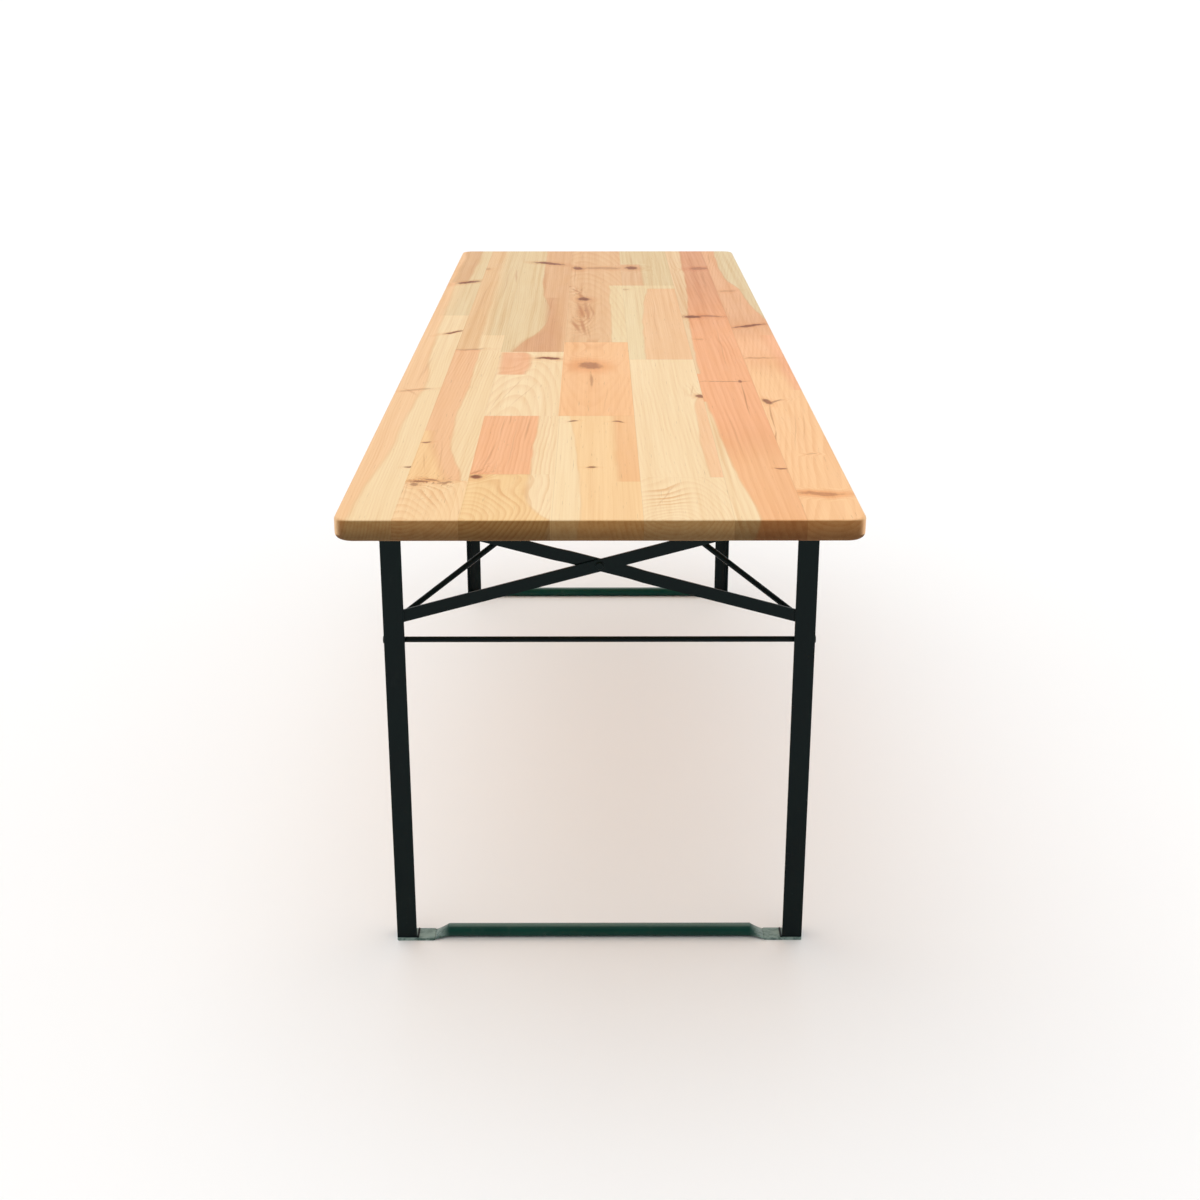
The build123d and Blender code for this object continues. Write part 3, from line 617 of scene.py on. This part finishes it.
# ---------------------------------------------------------------- metals
def powder_coat(name, deep, light, shine, highlight_from_x=None):
    """Dark green powder coat: fine orange peel, scuffs, dust, and where asked for, painted
    highlights on the pressed ends and along the top.
    """
    g = Graph(name)
    tone = g.noise((9, 9, 9), 3.0, 0.6, seed=2)
    peel = g.noise((700, 700, 700), 2.0, 0.5, seed=4)
    grain = g.noise((2600, 2600, 2600), 1.0, 0.5, seed=6)
    scuff = g.step(g.noise((90, 90, 420), 4.0, 0.7, seed=9, distort=0.6), 0.68, 0.76)
    dust = g.step(g.noise((30, 30, 18), 4.0, 0.65, seed=12), 0.56, 0.82)
    colour = g.mix(tone, deep, light)
    colour = g.mix(scuff * 0.22, colour, srgb(60, 104, 96))
    colour = g.mix(dust * g.step(g.z, 0.0, 0.10, 0.18, 0.03), colour, srgb(110, 118, 108))
    rough = tone * 0.10 + 0.24 + dust * 0.12 + scuff * 0.12
    if highlight_from_x is not None:
        # painted highlight: paler in patches from |x| = the given x outwards, for the shine of the
        # sloping pressed ends, and a painted highlight along the up-facing top of the tube
        out = g.step(g.math("ABSOLUTE", g.x), highlight_from_x - 0.014, highlight_from_x + 0.006)
        patch = g.step(g.noise((70, 110, 70), 4.0, 0.7, seed=15), 0.40, 0.58)
        colour = g.mix(out * (patch * 0.55 + 0.30), colour, srgb(150, 172, 166))
        rough = rough + out * 0.06
        # painted highlight on the up-facing top of the tube, varied by the scuff noise
        top_highlight = g.step(g.split(g.normal)[2], 0.72, 0.99)
        colour = g.mix(top_highlight * (scuff * 0.3 + 0.42), colour, srgb(140, 164, 158))
    normal = g.bump(peel * 0.7 + grain * 0.15, 0.00012, 0.5)
    return g.finish(colour, rough, normal, Specular_IOR_Level=shine)


def bare_steel(name, light, dark, rough_low, scale=260.0):
    """Zinc-plated or bare steel with spangle, drawing marks and fine scratches."""
    g = Graph(name)
    cells = g.node("ShaderNodeTexVoronoi", {"Vector": g.point, "Scale": scale})
    spangle = Val(g, g.node("ShaderNodeRGBToBW", {0: cells.outputs["Color"]}).outputs[0])
    stain = g.noise((40, 40, 40), 4.0, 0.6, seed=3)
    brushed = g.noise((90, 1900, 1900), 2.0, 0.6, seed=5)
    colour = g.mix(spangle * 0.5 + stain * 0.5, light, dark)
    colour = g.mix(g.step(stain, 0.58, 0.80) * 0.5, colour, srgb(104, 92, 74))
    normal = g.bump(brushed * 0.5 + spangle * 0.3, 0.00008, 0.4)
    rough = spangle * 0.12 + stain * 0.16 + rough_low
    return g.finish(colour, rough, normal, Metallic=0.92)


# painted light: the foot bar has the same green paint as the rest of the frame, given a lighter
# copy for the light its upward-facing tube catches
GREEN = powder_coat("green_powder_coat", srgb(0, 11, 13), srgb(0, 22, 22), 0.13)
FOOT_GREEN_LIT = powder_coat("green_foot_bar_lit", srgb(0, 50, 42), srgb(0, 68, 56), 0.18, highlight_from_x=0.242)
ZINC = bare_steel("zinc_plated_steel", srgb(205, 207, 208), srgb(150, 153, 155), 0.26)
SPRING = bare_steel("spring_steel", srgb(120, 124, 130), srgb(70, 74, 82), 0.24, 90.0)
SLOT_MATERIALS = {"green_steel": GREEN, "zinc_steel": ZINC, "spring_steel": SPRING}
for row in frame["record"]["subparts"]:
    if row["material_slot"] in SLOT_MATERIALS:
        paint_node(row["node"], SLOT_MATERIALS[row["material_slot"]])
# the foot bars get the lighter, painted-light copy of the green
for end in ENDS:
    paint_node(f"foot_bar_{end}", FOOT_GREEN_LIT)


# ---------------------------------------------------------------- welds
BEAD_SIDES = 12
FOOT_BEAD, BRACE_BEAD, BAR_BEAD = 0.0016, 0.0014, 0.0012
FOOT_PLATE_TOP = 0.004
BRACE_RISE = 0.27
BRACE_HALF = 0.0088
FLANGE_BACK = 0.0032
BEAD_INSET = 0.0015
BAR_RING = 0.0046
BAR_RING_INSET = 0.0036


def placed(end, x, u, z):
    """Row-frame point from end coordinates: x, distance from that end, height."""
    y = u - HALF_LENGTH
    return Vector((x, y, z)) if end == "front" else Vector((-x, -y, z))


def weld(name, body, path, radius, seed):
    """A rippled weld bead along a path of points."""
    rng = random.Random(seed)
    total = sum((b - a).length for a, b in zip(path, path[1:]))
    count = max(8, int(total / (radius * 0.55)))
    centres = []
    for i in range(count + 1):
        want = total * i / count
        for a, b in zip(path, path[1:]):
            step = (b - a).length
            if want <= step + 1e-9:
                centres.append((a.lerp(b, min(1.0, want / step)), (b - a).normalized()))
                break
            want -= step
    bm = bmesh.new()
    rings = []
    for i, (centre, along) in enumerate(centres):
        end_taper = min(1.0, 0.35 + 0.5 * min(i, count - i))
        ripple = 1.0 + 0.10 * math.sin(i * 2.1) + rng.uniform(-0.05, 0.05)
        r = radius * ripple * end_taper
        turn = along.to_track_quat("Z", "Y")
        rings.append([bm.verts.new(centre + turn @ Vector((
            r * math.cos(2 * math.pi * k / BEAD_SIDES),
            r * math.sin(2 * math.pi * k / BEAD_SIDES), 0))) for k in range(BEAD_SIDES)])
    for a, b in zip(rings, rings[1:]):
        for k in range(BEAD_SIDES):
            after = (k + 1) % BEAD_SIDES
            bm.faces.new((a[k], a[after], b[after], b[k]))
    bm.faces.new(list(reversed(rings[0])))
    bm.faces.new(rings[-1])
    mesh = bpy.data.meshes.new(name)
    bm.to_mesh(mesh)
    bm.free()
    for face in mesh.polygons:
        face.use_smooth = True
    made = bpy.data.objects.new(name, mesh)
    bpy.context.scene.collection.objects.link(made)
    mesh.materials.append(GREEN)
    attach(made, body)


for end in ENDS:
    body = f"leg_{end}"
    foot_lo, foot_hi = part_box(f"foot_bar_{end}")
    brace_lo, brace_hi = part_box(f"brace_bar_{end}_a")
    post = "left" if end == "front" else "right"
    post_lo, post_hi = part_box(f"upright_{end}_{post}")
    flange_x = min(abs(post_lo.x), abs(post_hi.x))
    outer_x = max(abs(post_lo.x), abs(post_hi.x))
    near_u = HALF_LENGTH - max(abs(foot_lo.y), abs(foot_hi.y))
    deep = foot_hi.y - foot_lo.y
    foot_z = FOOT_PLATE_TOP + 0.0004
    front_u = HALF_LENGTH - max(abs(post_lo.y), abs(post_hi.y))
    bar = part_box(f"crossbar_{end}")
    bar_z = (bar[0].z + bar[1].z) / 2
    bar_u = HALF_LENGTH - abs((bar[0].y + bar[1].y) / 2)
    brace_mid = (brace_lo.z + brace_hi.z) / 2
    for sign, side in ((-1, "a"), (1, "b")):
        foot_x = sign * (flange_x - BEAD_INSET)
        weld(f"weld_foot_{end}_{side}", body, [
            placed(end, foot_x, near_u + BEAD_INSET, foot_z),
            placed(end, foot_x, near_u + deep - BEAD_INSET, foot_z)], FOOT_BEAD, sign + 5)
        for level, word in ((-1, "low"), (1, "high")):
            middle = brace_mid + level * BRACE_RISE * flange_x
            weld(f"weld_brace_{end}_{side}_{word}", body, [
                placed(end, sign * flange_x, front_u + FLANGE_BACK, middle - BRACE_HALF),
                placed(end, sign * flange_x, front_u + FLANGE_BACK, middle + BRACE_HALF)],
                BRACE_BEAD, sign * level + 9)
        ring = [placed(end, sign * (outer_x - BAR_RING_INSET),
                       bar_u + BAR_RING * math.cos(t * math.pi / 10),
                       bar_z + BAR_RING * math.sin(t * math.pi / 10)) for t in range(21)]
        weld(f"weld_crossbar_{end}_{side}", body, ring, BAR_BEAD, sign + 13)


# ---------------------------------------------------------------- screw drives
def islands(mesh):
    """The separate solids of a mesh, each as (middle x, middle y, lowest z, half width in x)."""
    bm = bmesh.new()
    bm.from_mesh(mesh)
    bmesh.ops.remove_doubles(bm, verts=bm.verts, dist=1e-6)
    left = set(bm.verts)
    found = []
    while left:
        stack, part = [left.pop()], []
        while stack:
            vert = stack.pop()
            part.append(vert.co.copy())
            for edge in vert.link_edges:
                other = edge.other_vert(vert)
                if other in left:
                    left.remove(other)
                    stack.append(other)
        lows = [min(c[i] for c in part) for i in range(3)]
        highs = [max(c[i] for c in part) for i in range(3)]
        found.append(((lows[0] + highs[0]) / 2, (lows[1] + highs[1]) / 2, lows[2],
                      (highs[0] - lows[0]) / 2))
    bm.free()
    return sorted(found)


ARM_HALF_WIDTH, ARM_REACH = 0.13, 0.52  # of the head's radius
DRIVE_PROUD, DRIVE_DEEP = 0.00004, 0.0009


def cross_drives(node, seed):
    """Dark cross-shaped plugs in the heads of the screws that face down: painted shade in place of
    hollow cross recesses.
    """
    rng = random.Random(seed)
    obj = NODES[node]
    bm = bmesh.new()
    for x, y, z, radius in islands(obj.data):
        turn = rng.uniform(0, math.pi)
        for arm in (turn, turn + math.pi / 2):
            along = Vector((math.cos(arm), math.sin(arm), 0))
            across = Vector((-along.y, along.x, 0)) * radius * ARM_HALF_WIDTH
            along = along * radius * ARM_REACH
            low, high = Vector((x, y, z - DRIVE_PROUD)), Vector((x, y, z + DRIVE_DEEP))
            ring = [bm.verts.new(base + a * along * narrow + b * across * narrow)
                    for base, narrow in ((low, 1.0), (high, 0.4))
                    for a, b in ((-1, -1), (1, -1), (1, 1), (-1, 1))]
            bm.faces.new((ring[3], ring[2], ring[1], ring[0]))
            bm.faces.new(ring[4:])
            for k in range(4):
                bm.faces.new((ring[k], ring[(k + 1) % 4], ring[4 + (k + 1) % 4], ring[4 + k]))
    mesh = bpy.data.meshes.new(f"{node}_drives")
    bm.to_mesh(mesh)
    bm.free()
    mesh.transform(obj.matrix_world)
    made = bpy.data.objects.new(f"{node}_drives", mesh)
    bpy.context.scene.collection.objects.link(made)
    mesh.materials.append(RECESS_SHADE)
    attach(made, "tabletop")


# painted shade: dark steel for the cross plugs, standing in for the shade inside the recesses
RECESS_SHADE = bare_steel("screw_recess_shade", srgb(44, 45, 47), srgb(22, 22, 24), 0.5)
for index, node in enumerate(("batten_screws", "bracket_screws", "fitting_screws")):
    cross_drives(node, 71 + index)


# ---------------------------------------------------------------- stage, light, camera
def quad(name, corners, material):
    """A flat four-cornered sheet."""
    mesh = bpy.data.meshes.new(name)
    mesh.from_pydata([Vector(c) for c in corners], [], [(0, 1, 2, 3)])
    made = bpy.data.objects.new(name, mesh)
    bpy.context.scene.collection.objects.link(made)
    mesh.materials.append(material)
    return made


floor_graph = Graph("studio_floor")
floor_tone = floor_graph.noise((0.6, 0.6, 0.6), 2.0)
floor_colour = floor_graph.mix(floor_tone, (0.95, 0.95, 0.95, 1), (0.98, 0.98, 0.98, 1))
floor_material = floor_graph.finish(floor_colour, 0.8, floor_graph.bump(floor_tone, 0.001, 0.1),
                                    Specular_IOR_Level=0.1)
FLOOR_HALF, FLOOR_BACK = 400, 900
floor = quad("floor", [(-FLOOR_HALF, -FLOOR_HALF, 0), (FLOOR_HALF, -FLOOR_HALF, 0),
                       (FLOOR_HALF, FLOOR_BACK, 0), (-FLOOR_HALF, FLOOR_BACK, 0)], floor_material)

scene = bpy.context.scene
scene.view_settings.view_transform = "Standard"


def studio_world(bright, dim):
    """Pale studio all round, dimmer low down at the front, and white where it is seen."""
    world = bpy.data.worlds.new("studio")
    world.use_nodes = True
    tree = world.node_tree
    tree.nodes.clear()

    def node(kind, inputs, **props):
        made = tree.nodes.new(kind)
        for key, value in props.items():
            setattr(made, key, value)
        for key, value in inputs.items():
            if isinstance(value, bpy.types.NodeSocket):
                tree.links.new(value, made.inputs[key])
            else:
                made.inputs[key].default_value = value
        return made.outputs[0]

    way = tree.nodes.new("ShaderNodeSeparateXYZ")
    tree.links.new(tree.nodes.new("ShaderNodeTexCoord").outputs["Generated"], way.inputs[0])
    front = node("ShaderNodeMapRange", {0: way.outputs[1], 1: 0.05, 2: -0.75, 3: 0.0, 4: 1.0},
                 interpolation_type="SMOOTHSTEP")
    low = node("ShaderNodeMapRange", {0: way.outputs[2], 1: 0.25, 2: 0.80, 3: 1.0, 4: 0.0},
               interpolation_type="SMOOTHSTEP")
    factor = node("ShaderNodeMath", {0: front, 1: low}, operation="MULTIPLY")
    strength = node("ShaderNodeMapRange", {0: factor, 1: 0.0, 2: 1.0, 3: bright, 4: dim})
    seen = tree.nodes.new("ShaderNodeLightPath").outputs["Is Camera Ray"]
    strength = node("ShaderNodeMath", {0: strength, 1: seen}, operation="MAXIMUM")
    light = node("ShaderNodeBackground", {"Color": (1, 1, 1, 1), "Strength": strength})
    world_out = tree.nodes.new("ShaderNodeOutputWorld")
    tree.links.new(light, world_out.inputs["Surface"])
    return world


scene.world = studio_world(0.94, 0.10)

sun_data = bpy.data.lights.new("key", "SUN")
sun_data.energy = 0.72
sun_data.angle = math.radians(70)
sun = bpy.data.objects.new("key", sun_data)
scene.collection.objects.link(sun)
sun.rotation_euler = (math.radians(-14), math.radians(-12), 0.0)

# the camera that the photo was taken with, as fitted to the table's corners
camera_data = bpy.data.cameras.new("camera")
camera_data.sensor_width = 36.0
camera_data.lens = 51.01
camera = bpy.data.objects.new("camera", camera_data)
scene.collection.objects.link(camera)
camera.location = (-0.0061, -3.0636, 1.3790)
camera.rotation_euler = (math.radians(90 - 19.917), 0.0, math.radians(-0.170))
scene.camera = camera
